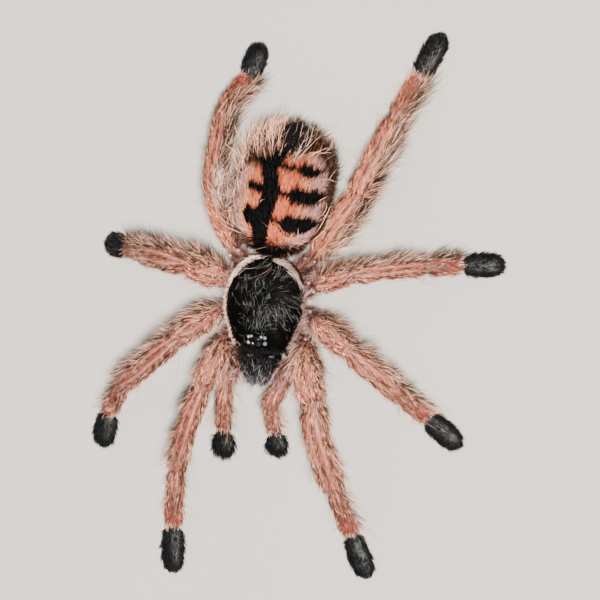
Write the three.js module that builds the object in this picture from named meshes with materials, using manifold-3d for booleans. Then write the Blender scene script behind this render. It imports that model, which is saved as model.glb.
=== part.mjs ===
// A young pink toe tarantula standing on a flat floor, as a still, life-size model.
// Millimetres, +Z up, head towards -Y, the animal's left towards +X, every foot flat on z = 0.
import * as THREE from "three";
import { mergeVertices } from "three/addons/utils/BufferGeometryUtils.js";
import Module from "manifold-3d";

const wasm = await Module();
wasm.setup();

// Driving dimensions. The prosoma is the front half of the body, from the jaws to the waist, and its own
// frame has its origin on the floor below the middle of the carapace.
const jointGap = 0.15; // the thin cut between neighbouring pieces
const limbSides = 10;
const bodySides = 28;
const heading = -5.5; // degrees, the prosoma turned slightly to the animal's right
const pad = { ankleHeight: 0.8, tipHeight: 0.33 }; // the foot's centreline above the floor
const coxaStart = 0.32; // how far outside the sternum's rim a coxa begins
const palpScale = 0.78; // the palps' thickness against the legs'

const carapaceSize = { length: 7.7, width: 6.5, underside: 3.2, edge: 0.35, dome: 1.85, headShare: 0.81 };
const sternumSize = { length: 3.9, width: 2.6, bottom: 1.35, top: 2.95, centreY: -0.35 };
const abdomenSize = {
  length: 10.5,
  width: 8.3,
  height: 6,
  centreHeight: 4.45,
  front: [0.12, 4],
  yaw: -14,
  pitch: -2,
  roll: -7,
};
const pedicelSize = { diameter: 0.8, from: [0, 3.2, 2.7], to: [0.05, 4.44, 2.82] };
const jawSize = {
  width: 1.72,
  height: 2.2,
  base: [0.9, -4, 2.95],
  tip: [0.42, -6.4, 1.75],
  lean: -0.5, // both jaws swing this far to the animal's right at their tips
};
const fangSize = { width: 0.5, length: 1.9, sag: 0.45 };
const spinneretSize = { width: 0.6, length: 1.55, spread: 14, root: [0.45, -1, -1.5] };
const moundSize = { length: 1.25, width: 1.7, height: 0.75, y: -2.9, rise: 4.75 };

// Where each limb leaves the prosoma: its place on the sternum's rim, in degrees from the front,
// and its hip just outside the carapace.
const hips = {
  palp: { rim: 19, x: 2.32, y: -4.1, z: 2 },
  leg_1: { rim: 52, x: 3.2, y: -2.9, z: 2.35 },
  leg_2: { rim: 82, x: 3.6, y: -0.75, z: 2.35 },
  leg_3: { rim: 112, x: 3.55, y: 1.6, z: 2.35 },
  leg_4: { rim: 146, x: 3.17, y: 3.75, z: 2.2 },
};

// Each piece of a limb: its greatest width and height, how much its middle bows upwards, and its outline
// as [place along the piece, share of the full width].
const shapes = {
  coxa: {
    width: 1.74,
    height: 1.45,
    bow: 0,
    outline: [[0, 0.42], [0.35, 0.68], [0.7, 0.9], [0.88, 1], [1, 0.9]],
  },
  palpCoxa: {
    width: 1.5,
    height: 1.25,
    bow: 0,
    outline: [[0, 0.5], [0.35, 0.74], [0.7, 0.92], [0.88, 1], [1, 0.9]],
  },
  femur: {
    width: 2.2,
    height: 2.15,
    bow: 0.28,
    outline: [[0, 0.6], [0.14, 0.78], [0.42, 1], [0.8, 0.98], [1, 0.88]],
  },
  patella: { width: 2.05, height: 1.95, bow: 0.12, outline: [[0, 0.9], [0.2, 0.99], [0.7, 1], [1, 0.9]] },
  tibia: { width: 2, height: 1.85, bow: 0.08, outline: [[0, 0.9], [0.2, 1], [0.7, 0.98], [1, 0.88]] },
  metatarsus: { width: 1.75, height: 1.5, bow: 0, outline: [[0, 0.9], [0.2, 0.98], [0.75, 1], [1, 0.94]] },
  tarsus: {
    width: 2.1,
    height: 1.15,
    bow: 0.05,
    outline: [[0, 0.78], [0.12, 0.93], [0.4, 1], [0.7, 0.97], [0.86, 0.8], [0.96, 0.5], [1, 0.22]],
  },
  palpTarsus: {
    width: 2.7,
    height: 1.2,
    bow: 0.05,
    outline: [[0, 0.66], [0.16, 0.84], [0.42, 1], [0.7, 0.97], [0.86, 0.8], [0.96, 0.5], [1, 0.22]],
  },
};

// The pose. A step is one piece of the limb seen from above: its bearing in degrees, from straight ahead
// round to the limb's own side, and how far it runs. Heights are those of the knee, the patella's end, the
// tibia's end, the ankle and the toe, as far as they differ from the foot's usual ones. Girth is how thick
// the limb looks in its coat against the others.
const limbs = {
  leg_1_left: {
    steps: [[19, 5.2], [4, 2.9], [10, 4], [14, 3.7], [20, 3.8]],
    girth: 1.2,
    heights: [5.9, 5.3, 2.9],
  },
  leg_2_left: {
    steps: [[56, 4.8], [48, 2.5], [40, 2.7], [44, 2.3], [48, 3.6]],
    heights: [5.9, 5.4, 2.5],
  },
  leg_3_left: {
    steps: [[103, 4.1], [99, 2], [96, 3.2], [93, 2.7], [91, 3.5]],
    girth: 0.84,
    heights: [5.3, 4.8, 2.3],
  },
  leg_4_left: {
    steps: [[143, 6.2], [151, 2.4], [157, 4.4], [152, 4.1], [151, 3.9]],
    heights: [2.7, 3.1, 1.8],
  },
  leg_1_right: {
    steps: [[15, 4.3], [25, 3.6], [26, 3.8], [8, 4.6], [2, 3.8]],
    heights: [5.9, 5.1, 2.1],
  },
  leg_2_right: {
    steps: [[51, 3.8], [52, 3], [58, 3.7], [37, 2.8], [15, 2.8]],
    heights: [6, 5.5, 2.9],
  },
  leg_3_right: {
    steps: [[118, 2.6], [103, 2.1], [100, 2.4], [100, 1.9], [104, 2.3]],
    girth: 1.15,
    heights: [6.6, 6.3, 4, 1.55, 0.05],
  },
  leg_4_right: {
    steps: [[167, 4.4], [177, 2.4], [183, 4.9], [211, 2.9], [200, 2.9]],
    girth: 0.84,
    heights: [5.5, 5.2, 2.8],
  },
  palp_left: {
    steps: [[-16, 2.3], [-34, 1.9], [-6, 2.3], [8, 1.9]],
    heights: [2.9, 2.6, 0.62, 0.25],
  },
  palp_right: {
    steps: [[15, 2.8], [10, 1.4], [14, 2.3], [4, 2.2]],
    heights: [2.8, 2.6, 0.62, 0.25],
  },
};

const materials = {
  pinkLimb: new THREE.MeshStandardMaterial({ color: 0xb47c6c, roughness: 0.75, metalness: 0 }),
  blackPad: new THREE.MeshStandardMaterial({ color: 0x15171b, roughness: 0.8, metalness: 0 }),
  carapaceShell: new THREE.MeshStandardMaterial({ color: 0x121412, roughness: 0.4, metalness: 0 }),
  abdomenCoat: new THREE.MeshStandardMaterial({ color: 0x9a6a55, roughness: 0.85, metalness: 0 }),
  underside: new THREE.MeshStandardMaterial({ color: 0x6f4f45, roughness: 0.7, metalness: 0 }),
  jaw: new THREE.MeshStandardMaterial({ color: 0x191918, roughness: 0.55, metalness: 0 }),
  fang: new THREE.MeshStandardMaterial({ color: 0x160a08, roughness: 0.2, metalness: 0 }),
  eye: new THREE.MeshStandardMaterial({ color: 0x0a0a0c, roughness: 0.1, metalness: 0 }),
};

const upward = new THREE.Vector3(0, 0, 1);
const spider = new THREE.Group();
const prosoma = new THREE.Group();
prosoma.rotation.z = THREE.MathUtils.degToRad(heading);
spider.add(prosoma);

function addPiece(parent, name, geometry, material) {
  const piece = new THREE.Mesh(geometry, material);
  piece.name = name;
  parent.add(piece);
  return piece;
}

// Booleans: a closed geometry as a manifold-3d solid, and back.
function solidOf(geometry) {
  const bare = new THREE.BufferGeometry().setAttribute("position", geometry.getAttribute("position"));
  if (geometry.index) bare.setIndex(geometry.index);
  const merged = mergeVertices(bare, 1e-4);
  const mesh = new wasm.Mesh({
    numProp: 3,
    vertProperties: new Float32Array(merged.attributes.position.array),
    triVerts: new Uint32Array(merged.index.array),
  });
  return new wasm.Manifold(mesh);
}

function geometryOf(solid) {
  const mesh = solid.getMesh();
  return new THREE.BufferGeometry()
    .setAttribute("position", new THREE.BufferAttribute(new Float32Array(mesh.vertProperties), 3))
    .setIndex(new THREE.BufferAttribute(new Uint32Array(mesh.triVerts), 1));
}

const floorSlab = solidOf(new THREE.BoxGeometry(120, 120, 10).translate(0, 0, -5));

// Moves every vertex of a geometry through a function of its position.
function reshape(geometry, place) {
  const positions = geometry.getAttribute("position");
  const vertex = new THREE.Vector3();
  for (let i = 0; i < positions.count; i += 1) {
    place(vertex.fromBufferAttribute(positions, i));
    positions.setXYZ(i, vertex.x, vertex.y, vertex.z);
  }
  return geometry;
}

// One round piece between two points. Each end lies on a plane through its point, so that two pieces
// that share a plane meet across an even gap however sharply the limb bends there.
function roundPiece({ from, to, startPlane, endPlane, startGap = 0, endGap = 0, shape, scale = 1 }) {
  const axis = to.clone().sub(from);
  const length = axis.length();
  axis.normalize();
  const side = new THREE.Vector3().crossVectors(axis, upward).normalize();
  const top = new THREE.Vector3().crossVectors(side, axis);
  const outline = shape.outline.map(([along, share]) => new THREE.Vector2(share, along));
  const profile = [new THREE.Vector2(0, 0), ...outline, new THREE.Vector2(0, 1)];
  const onPlane = (across, plane) => -across.dot(plane) / axis.dot(plane);
  return reshape(new THREE.LatheGeometry(profile, limbSides), (vertex) => {
    const share = vertex.y;
    const across = side.clone().multiplyScalar((vertex.x * shape.width * scale) / 2);
    across.addScaledVector(top, (vertex.z * shape.height * scale) / 2);
    const start = onPlane(across, startPlane) + startGap;
    const end = length + onPlane(across, endPlane) - endGap;
    vertex.copy(from).add(across).addScaledVector(axis, THREE.MathUtils.lerp(start, end, share));
    vertex.addScaledVector(top, shape.bow * scale * Math.sin(Math.PI * share));
  });
}

// The plane that halves the bend between two stretches of a limb.
function mitre(before, at, after) {
  const into = at.clone().sub(before).normalize();
  const outOf = after.clone().sub(at).normalize();
  return into.add(outOf).normalize();
}

function placeInProsoma(x, y, z) {
  return new THREE.Vector3(x, y, z).applyAxisAngle(upward, THREE.MathUtils.degToRad(heading));
}

// The points of a limb from the sternum to the toe: rim, hip, knee and so on.
function limbPoints(name, { steps, heights }) {
  const side = name.endsWith("left") ? 1 : -1;
  const hip = hips[name.replace(/_(left|right)$/, "")];
  const rimAngle = THREE.MathUtils.degToRad(hip.rim);
  const rimX = (sternumSize.width / 2) * Math.sin(rimAngle);
  const rimY = sternumSize.centreY - (sternumSize.length / 2) * Math.cos(rimAngle);
  const points = [placeInProsoma(side * rimX, rimY, (sternumSize.bottom + sternumSize.top) / 2)];
  points.push(placeInProsoma(side * hip.x, hip.y, hip.z));
  const levels = [...heights, pad.ankleHeight, pad.tipHeight];
  steps.forEach(([bearing, run], i) => {
    const turn = THREE.MathUtils.degToRad(bearing);
    const last = points[points.length - 1];
    const x = last.x + side * run * Math.sin(turn);
    points.push(new THREE.Vector3(x, last.y - run * Math.cos(turn), levels[i]));
  });
  return points;
}

// A limb: coxa, femur, the patella joined to the tibia, a metatarsus on the legs only, and the foot.
function buildLimb([name, pose]) {
  const points = limbPoints(name, pose);
  const isPalp = name.startsWith("palp");
  const planes = points.map((point, i) => {
    if (i === 0) return points[1].clone().sub(point).normalize();
    if (i === points.length - 1) return point.clone().sub(points[i - 1]).normalize();
    return mitre(points[i - 1], point, points[i + 1]);
  });
  const piece = (shapeName, i, startGap = jointGap / 2, endGap = jointGap / 2) =>
    roundPiece({
      from: points[i],
      to: points[i + 1],
      startPlane: planes[i],
      endPlane: planes[i + 1],
      startGap,
      endGap,
      shape: shapes[shapeName],
      scale: (isPalp ? palpScale : 1) * (shapeName.match(/femur|patella|tibia/) ? pose.girth ?? 1 : 1),
    });
  const { pinkLimb, blackPad } = materials;
  const sunkEnd = -0.05; // the patella and the tibia are sunk into each other by this much, to be joined
  addPiece(spider, `${name}_coxa`, piece(isPalp ? "palpCoxa" : "coxa", 0, coxaStart), pinkLimb);
  addPiece(spider, `${name}_femur`, piece("femur", 1), pinkLimb);
  const patella = solidOf(piece("patella", 2, jointGap / 2, sunkEnd));
  const tibia = solidOf(piece("tibia", 3, sunkEnd));
  addPiece(spider, `${name}_tibia`, geometryOf(patella.add(tibia)), pinkLimb);
  if (!isPalp) {
    const metatarsus = solidOf(piece("metatarsus", 4)).subtract(floorSlab);
    addPiece(spider, `${name}_metatarsus`, geometryOf(metatarsus), pinkLimb);
  }
  const footShape = isPalp ? "palpTarsus" : "tarsus";
  const foot = solidOf(piece(footShape, points.length - 2, jointGap / 2, 0)).subtract(floorSlab);
  addPiece(spider, `${name}_tarsus`, geometryOf(foot), blackPad);
}

// The carapace in plan at an angle from the front: a broad oval whose front half narrows to a squarish head.
function carapaceReach(angle) {
  const { length, width, headShare } = carapaceSize;
  const roundness = Math.cos(angle) > 0 ? 4.5 : 2.4;
  const curved = (value) => Math.sign(value) * Math.pow(Math.abs(value), 2 / roundness);
  const forward = curved(Math.cos(angle));
  const narrowing = 1 - (1 - headShare) * THREE.MathUtils.smoothstep(forward, 0.1, 0.75);
  return { x: (width / 2) * narrowing * curved(Math.sin(angle)), y: (-length / 2) * forward };
}

// The dome rises steeply at the rim, is highest on the head and dips at the fovea behind the middle.
function carapaceRise(x, y, ring) {
  const dome = Math.pow(Math.max(0, 1 - Math.pow(ring, 2.6)), 0.6);
  const lengthwise = 1 - 0.2 * THREE.MathUtils.smoothstep(y, -1.5, 3.6);
  const fovea = 0.1 * Math.exp(-(x * x * 6 + (y - 0.9) * (y - 0.9) * 2.5));
  return dome * lengthwise - fovea;
}

function carapaceGeometry() {
  const rings = [0.2, 0.4, 0.6, 0.76, 0.88, 0.96, 1];
  const { underside, edge, dome } = carapaceSize;
  const underPoints = [new THREE.Vector2(0, 0), new THREE.Vector2(0.93, 0), new THREE.Vector2(1, 0.5)];
  const overPoints = rings.map((ring) => new THREE.Vector2(ring, 1)).reverse();
  const profile = [...underPoints, ...overPoints, new THREE.Vector2(0, 1)];
  return reshape(new THREE.LatheGeometry(profile, bodySides), (vertex) => {
    const ring = Math.hypot(vertex.x, vertex.z);
    const level = vertex.y;
    const angle = Math.atan2(vertex.x, vertex.z);
    const reach = carapaceReach(angle);
    const x = ring * reach.x;
    const y = ring * reach.y;
    const rise = level === 1 ? edge + dome * carapaceRise(x, y, ring) : level * edge;
    vertex.set(x, y, underside + rise);
  });
}

function sternumGeometry() {
  const { length, width, bottom, top, centreY } = sternumSize;
  const profile = [[0, 0], [0.55, 0.02], [0.85, 0.14], [1, 0.4], [1, 0.85], [0.9, 1], [0, 1]];
  const points = profile.map(([reach, level]) => new THREE.Vector2(reach, level));
  return reshape(new THREE.LatheGeometry(points, 18), (vertex) => {
    const x = (vertex.x * width) / 2;
    const y = centreY - (vertex.z * length) / 2;
    vertex.set(x, y, THREE.MathUtils.lerp(bottom, top, vertex.y));
  });
}

// The eye mound: a low oval knob on the head with eight lenses, four in each of two rows.
function eyeMoundGeometry(carapace) {
  const { length, width, height, y, rise } = moundSize;
  const knob = solidOf(new THREE.SphereGeometry(1, 14, 10));
  let mound = knob.scale([width / 2, length / 2, height]).translate([0, y, rise]);
  const frontRow = [{ x: 0.26, y: -0.34, z: 0.5, r: 0.2 }, { x: 0.68, y: -0.3, z: 0.26, r: 0.19 }];
  const backRow = [{ x: 0.4, y: 0.2, z: 0.56, r: 0.13 }, { x: 0.66, y: 0.14, z: 0.38, r: 0.16 }];
  for (const side of [-1, 1]) {
    for (const eye of [...frontRow, ...backRow]) {
      const lens = solidOf(new THREE.IcosahedronGeometry(eye.r, 1));
      mound = mound.add(lens.translate([side * eye.x, y + eye.y, rise + eye.z]));
    }
  }
  return geometryOf(mound.subtract(solidOf(carapace).translate([0, 0, jointGap])));
}

// A jaw is a deep oval block that tapers forwards, flat where the two face each other, with the fang
// folded back under it.
function addJaw(side, name) {
  const { width, height, base, tip, lean } = jawSize;
  const outline = [[0, 0.9], [0.1, 0.99], [0.35, 0.98], [0.6, 0.84], [0.8, 0.62], [0.93, 0.4], [1, 0.2]];
  const squareOn = { startPlane: new THREE.Vector3(0, 1, 0), endPlane: new THREE.Vector3(0, 1, 0) };
  const block = roundPiece({
    ...squareOn,
    from: new THREE.Vector3(side * base[0], base[1], base[2]),
    to: new THREE.Vector3(side * tip[0], tip[1], tip[2]),
    shape: { width, height, bow: 0.28, outline },
  });
  const parting = new THREE.BoxGeometry(4, 8, 8).translate(-side * (2 - jointGap / 2), -5, 3);
  const jaw = geometryOf(solidOf(block).subtract(solidOf(parting)));
  const leaning = (vertex) => vertex.setX(vertex.x + (lean * (base[1] - vertex.y)) / (base[1] - tip[1]));
  addPiece(prosoma, `chelicera_${name}`, reshape(jaw, leaning), materials.jaw);

  const root = new THREE.Vector3(side * tip[0], tip[1] + 0.35, tip[2] - 0.72);
  const fang = roundPiece({
    ...squareOn,
    from: root,
    to: root.clone().add(new THREE.Vector3(side * 0.1, fangSize.length, -0.1)),
    shape: {
      width: fangSize.width,
      height: fangSize.width,
      bow: -fangSize.sag,
      outline: [[0, 0.8], [0.1, 1], [0.5, 0.86], [0.85, 0.6], [1, 0.3]],
    },
  });
  addPiece(prosoma, `fang_${name}`, reshape(fang, leaning), materials.fang);
}

// The abdomen is an egg along its own Y axis, with two spinnerets at the far end.
function buildAbdomen() {
  const { length, width, height, centreHeight, front, yaw, pitch, roll } = abdomenSize;
  const holder = new THREE.Group();
  const turn = THREE.MathUtils.degToRad;
  const start = placeInProsoma(front[0], front[1], centreHeight);
  holder.position.copy(start);
  holder.rotation.set(turn(pitch), turn(roll), turn(yaw), "ZXY");
  spider.add(holder);

  const rings = 16;
  const profile = [];
  for (let i = 0; i <= rings; i += 1) {
    const along = (1 - Math.cos((Math.PI * i) / rings)) / 2;
    const lean = 2 * Math.pow(along, 1.12) - 1;
    const bluntness = lean < 0 ? 3.3 : 2.7;
    const reach = Math.pow(Math.max(0, 1 - Math.pow(Math.abs(lean), bluntness)), 0.43);
    profile.push(new THREE.Vector2(reach, along));
  }
  const egg = reshape(new THREE.LatheGeometry(profile, bodySides), (vertex) => {
    const flatBelly = vertex.z < 0 ? 0.85 : 1;
    vertex.set((vertex.x * width) / 2, vertex.y * length, (vertex.z * height * flatBelly) / 2);
  });
  addPiece(holder, "abdomen", egg, materials.abdomenCoat);

  const clearance = solidOf(egg).translate([0, 0.1, -0.12]);
  for (const [side, name] of [[1, "left"], [-1, "right"]]) {
    const { root, spread } = spinneretSize;
    const from = new THREE.Vector3(side * root[0], length + root[1], root[2]);
    const outward = turn(spread);
    const along = new THREE.Vector3(side * Math.sin(outward), Math.cos(outward), 0.06).normalize();
    const spinneret = roundPiece({
      from,
      to: from.clone().addScaledVector(along, spinneretSize.length),
      startPlane: along,
      endPlane: along,
      shape: {
        width: spinneretSize.width,
        height: spinneretSize.width,
        bow: 0.12,
        outline: [[0, 0.9], [0.25, 1], [0.34, 0.88], [0.6, 0.92], [0.68, 0.8], [0.92, 0.66], [1, 0.36]],
      },
    });
    const clear = solidOf(spinneret).subtract(clearance);
    addPiece(holder, `spinneret_${name}`, geometryOf(clear), materials.abdomenCoat);
  }
}

function buildPedicel() {
  const from = placeInProsoma(...pedicelSize.from);
  const to = placeInProsoma(...pedicelSize.to);
  const along = to.clone().sub(from).normalize();
  const shape = {
    width: pedicelSize.diameter,
    height: pedicelSize.diameter * 0.85,
    bow: 0,
    outline: [[0, 1], [0.35, 0.82], [0.7, 0.86], [1, 1]],
  };
  const stalk = roundPiece({ from, to, startPlane: along, endPlane: along, shape });
  addPiece(spider, "pedicel", stalk, materials.underside);
}

const carapace = carapaceGeometry();
addPiece(prosoma, "carapace", carapace, materials.carapaceShell);
addPiece(prosoma, "sternum", sternumGeometry(), materials.underside);
addPiece(prosoma, "eye_mound", eyeMoundGeometry(carapace), materials.eye);
addJaw(1, "left");
addJaw(-1, "right");
buildPedicel();
buildAbdomen();
Object.entries(limbs).forEach(buildLimb);

// The part's origin is on the floor, under the middle of the whole animal.
spider.updateMatrixWorld(true);
const extent = new THREE.Box3().setFromObject(spider, true);
const middle = extent.getCenter(new THREE.Vector3());
spider.position.set(-middle.x, -middle.y, 0);

export default spider;
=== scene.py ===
import math

import bpy
import numpy as np
from mathutils import Matrix, Vector
from mathutils.bvhtree import BVHTree
from mathutils.kdtree import KDTree


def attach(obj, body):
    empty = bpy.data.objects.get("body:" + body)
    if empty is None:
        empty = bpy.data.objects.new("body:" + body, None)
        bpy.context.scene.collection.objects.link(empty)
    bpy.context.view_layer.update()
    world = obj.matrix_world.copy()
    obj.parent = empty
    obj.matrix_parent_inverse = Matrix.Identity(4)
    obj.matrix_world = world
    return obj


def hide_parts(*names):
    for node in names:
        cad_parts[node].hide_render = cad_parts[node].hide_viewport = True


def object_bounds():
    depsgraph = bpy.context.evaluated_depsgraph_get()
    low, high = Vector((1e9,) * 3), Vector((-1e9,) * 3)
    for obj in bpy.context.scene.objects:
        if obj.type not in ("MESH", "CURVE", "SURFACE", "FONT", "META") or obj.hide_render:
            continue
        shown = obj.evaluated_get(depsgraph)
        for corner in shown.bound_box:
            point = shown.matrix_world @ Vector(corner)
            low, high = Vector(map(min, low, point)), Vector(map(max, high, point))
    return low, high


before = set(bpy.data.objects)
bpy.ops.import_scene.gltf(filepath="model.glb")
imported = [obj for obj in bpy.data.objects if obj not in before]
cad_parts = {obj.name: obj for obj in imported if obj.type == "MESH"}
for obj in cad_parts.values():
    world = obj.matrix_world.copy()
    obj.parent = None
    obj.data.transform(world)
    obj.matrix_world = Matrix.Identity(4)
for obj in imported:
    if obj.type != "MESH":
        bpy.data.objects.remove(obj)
cadBox = [list(corner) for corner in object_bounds()]
mm = 0.001  # shapes are worked out in millimetres and written in metres
zenith = np.array([0.0, 0.0, 1.0])
sides = ("left", "right")

view = {"distance": 800, "lens": 600, "sensor": 36, "tilt": 15, "aim": (0.83, 0.49, 3)}
studio = {
    "key": {"colour": (1, 0.95, 0.89), "from": (0.3, -0.08, 1), "size": 80, "power": 13.4},
    "fill": {"colour": (0.95, 0.97, 1), "from": (-0.5, 0.4, 0.8), "size": 500, "power": 1.0},
    "lampDistance": 600,
    "skyColour": (0.93, 0.96, 1, 1),
    "skyStrength": 0.23,
    "floorSize": 3000,
    "floorColour": (0.46, 0.435, 0.405),
}


def newObject(name, data):
    made = bpy.data.objects.new(name, data)
    bpy.context.scene.collection.objects.link(made)
    return made


def addCamera():
    tilt = math.radians(view["tilt"])
    right = Vector((math.cos(tilt), 0, -math.sin(tilt)))
    back = Vector((math.sin(tilt), 0, math.cos(tilt)))
    turn = Matrix((right, Vector((0, 1, 0)), back)).transposed().to_4x4()
    lens = bpy.data.cameras.new("camera")
    lens.lens, lens.sensor_width = view["lens"], view["sensor"]
    lens.clip_start, lens.clip_end = 0.01, 20
    camera = newObject("camera", lens)
    camera.matrix_world = Matrix.Translation((Vector(view["aim"]) + back * view["distance"]) * mm) @ turn
    bpy.context.scene.camera = camera


def addLamp(name):
    look = studio[name]
    lamp = bpy.data.lights.new(name, "AREA")
    lamp.shape = "DISK"
    lamp.size, lamp.energy, lamp.color = look["size"] * mm, look["power"], look["colour"]
    holder = newObject(name, lamp)
    direction = Vector(look["from"]).normalized()
    holder.location = direction * studio["lampDistance"] * mm
    holder.rotation_mode = "QUATERNION"
    holder.rotation_quaternion = direction.to_track_quat("Z", "Y")


def addSky():
    world = bpy.data.worlds.new("sky")
    world.use_nodes = True
    background = world.node_tree.nodes["Background"]
    background.inputs["Color"].default_value = studio["skyColour"]
    background.inputs["Strength"].default_value = studio["skyStrength"]
    bpy.context.scene.world = world


addCamera()
addLamp("key")
addLamp("fill")
addSky()
print("camera and lights")


def unit(vectors):
    return vectors / np.maximum(np.linalg.norm(vectors, axis=-1, keepdims=True), 1e-9)


def alongSurface(vectors, normals):  # the part of each vector that lies in the surface, with length 1
    return unit(vectors - normals * (vectors * normals).sum(axis=1, keepdims=True))


def smoothStep(value, low, high):
    t = np.clip((value - low) / (high - low), 0, 1)
    return t * t * (3 - 2 * t)


def bell(value, width):  # 1 where the value is 0, falling away within the width
    return np.exp(-((value / width) ** 2))


def listed(items, key, columns, kind=float):
    numbers = np.empty(len(items) * (3 if key == "co" else columns), kind)
    items.foreach_get(key, numbers)
    return numbers.reshape(-1, columns)


def nodeMesh(name):  # a CAD node's vertices in millimetres and its triangles
    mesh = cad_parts[name].data
    mesh.calc_loop_triangles()
    return listed(mesh.vertices, "co", 3) / mm, listed(mesh.loop_triangles, "vertices", 3, np.int32)


def newMesh(name, points, faces):
    mesh = bpy.data.meshes.new(name)
    mesh.vertices.add(len(points))
    mesh.vertices.foreach_set("co", np.asarray(points, np.float32).ravel())
    mesh.loops.add(faces.size)
    mesh.loops.foreach_set("vertex_index", faces.astype(np.int32).ravel())
    mesh.polygons.add(len(faces))
    mesh.polygons.foreach_set("loop_start", np.arange(0, faces.size, faces.shape[1], dtype=np.int32))
    mesh.polygons.foreach_set("use_smooth", np.ones(len(faces), bool))
    mesh.update(calc_edges=True)
    mesh.validate()
    return mesh


def addPiece(name, points, faces, material, slot, replaced=(), values=None, unwrap=None):
    mesh = newMesh(name, points * mm, faces)
    for title, numbers in (values or {}).items():
        isVector = numbers.ndim == 2
        attribute = mesh.attributes.new(title, "FLOAT_VECTOR" if isVector else "FLOAT", "POINT")
        attribute.data.foreach_set("vector" if isVector else "value", numbers.astype(np.float32).ravel())
    if unwrap is not None:
        layer = mesh.uv_layers.new(name="OFBake")
        layer.data.foreach_set("uv", unwrap.astype(np.float32).ravel())
    mesh.materials.append(material)
    piece = newObject(name, mesh)
    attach(piece, "root")
    if replaced:
        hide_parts(*replaced)
    print(f"{name}: {len(faces)} faces")


def ball(centre, radii, turn=None, rows=12, columns=20):
    down = np.linspace(0, math.pi, rows + 1)[1:-1]
    turned = np.arange(columns) * 2 * math.pi / columns
    ring = [(math.sin(d) * math.cos(r), math.sin(d) * math.sin(r), math.cos(d)) for d in down for r in turned]
    points = np.vstack([ring, [[0, 0, 1], [0, 0, -1]]]) * radii
    top, bottom, last = len(ring), len(ring) + 1, (rows - 2) * columns
    faces = []
    for c in range(columns):
        after = (c + 1) % columns
        faces += [(top, c, after), (bottom, last + after, last + c)]
        for a, b in zip(range(c, last, columns), range(after, last, columns)):
            faces += [(a, a + columns, b + columns), (a, b + columns, b)]
    if turn is not None:
        points = points @ turn
    return points + np.asarray(centre), np.array(faces)


def joined(pieces):
    starts = np.cumsum([0] + [len(points) for points, faces in pieces])
    faces = np.vstack([faces + start for (points, faces), start in zip(pieces, starts)])
    return np.vstack([points for points, faces in pieces]), faces


def remeshed(points, faces, voxel):  # one closed surface of even quads round everything given
    holder = newObject("rough", newMesh("rough", points, faces))
    change = holder.modifiers.new("even", "REMESH")
    change.mode = "VOXEL"
    change.voxel_size = voxel
    made = holder.evaluated_get(bpy.context.evaluated_depsgraph_get()).to_mesh()
    corners = listed(made.loops, "vertex_index", 1, np.int32).reshape(-1, 4)
    surface = listed(made.vertices, "co", 3), corners, listed(made.edges, "vertices", 2, np.int32)
    bpy.data.objects.remove(holder)
    return surface


def relaxed(points, edges, rounds, share=0.6, back=-0.62):  # smooths without shrinking
    a, b = edges.T
    count = np.bincount(edges.ravel(), minlength=len(points))[:, None]
    for step in range(2 * rounds):
        total = [np.bincount(a, p[b], len(p)) + np.bincount(b, p[a], len(p)) for p in points.T]
        points = points + (share if step % 2 == 0 else back) * (np.stack(total, axis=1) / count - points)
    return points


def split(quads):
    return np.vstack([quads[:, [0, 1, 2]], quads[:, [0, 2, 3]]])


def pointNormals(points, faces):
    triangles = faces if faces.shape[1] == 3 else split(faces)
    a, b, c = (points[corner] for corner in triangles.T)
    flat = np.cross(b - a, c - a)
    total = np.zeros_like(points)
    for corner in triangles.T:
        for axis in range(3):
            total[:, axis] += np.bincount(corner, flat[:, axis], len(points))
    return unit(total)


heading = math.radians(-5.5)  # the front of the body is turned slightly to the animal's right
prosomaSide = np.array([math.cos(heading), math.sin(heading), 0])
prosomaRear = np.array([-math.sin(heading), math.cos(heading), 0])
prosomaAxes = np.array([prosomaSide, prosomaRear, zenith])
carapacePoints = nodeMesh("carapace")[0] @ prosomaAxes.T
carapaceLow, carapaceHigh = carapacePoints.min(axis=0), carapacePoints.max(axis=0)
prosomaMiddle = ((carapaceLow + carapaceHigh) / 2 * (1, 1, 0)) @ prosomaAxes


def inProsoma(points):  # millimetres across, rearwards and up from the floor below the carapace's middle
    return (points - prosomaMiddle) @ prosomaAxes.T


def fromProsoma(local):
    return prosomaMiddle + np.asarray(local) @ prosomaAxes


abdomenPoints = nodeMesh("abdomen")[0]
abdomenMiddle = abdomenPoints.mean(axis=0)
abdomenAxes = np.linalg.svd(abdomenPoints - abdomenMiddle, full_matrices=False)[2]
abdomenRear = abdomenAxes[0] * np.sign(abdomenAxes[0][1])
abdomenUp = abdomenAxes[2] * np.sign(abdomenAxes[2][2])
abdomenSide = np.cross(abdomenRear, abdomenUp)
abdomenFront = (abdomenPoints @ abdomenRear).min()
# an angle round the abdomen, taken after its height is multiplied by the second number, is turned into
# millimetres along its surface by the first
arcRadius, arcFlatness = 3.3, 1.2


def inAbdomen(points):  # millimetres across, rearwards from its front and up from its middle
    local = points - abdomenMiddle
    return np.stack([local @ abdomenSide, points @ abdomenRear - abdomenFront, local @ abdomenUp], axis=1)


legNames = [f"leg_{number}_{side}" for number in (1, 2, 3, 4) for side in sides]
limbNames = legNames + ["palp_left", "palp_right"]
segmentNames = ["coxa", "femur", "tibia", "metatarsus", "tarsus"]
kindNames = segmentNames + ["abdomen", "spinneret", "core"]  # what a point of the skin can belong to
cutReach = 0.3  # points of a limb piece that lie nearer than this to its neighbour are round the cut


def limbNodes(limb):
    return [f"{limb}_{segment}" for segment in segmentNames if f"{limb}_{segment}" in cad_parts]


def roundCut(points, others):
    gaps = np.linalg.norm(points[:, None] - others[None], axis=2)
    return points[gaps.min(axis=1) < cutReach]


def farEnd(points, start):
    away = np.linalg.norm(points - start, axis=1)
    return points[away > away.max() - 0.25].mean(axis=0)


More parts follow.
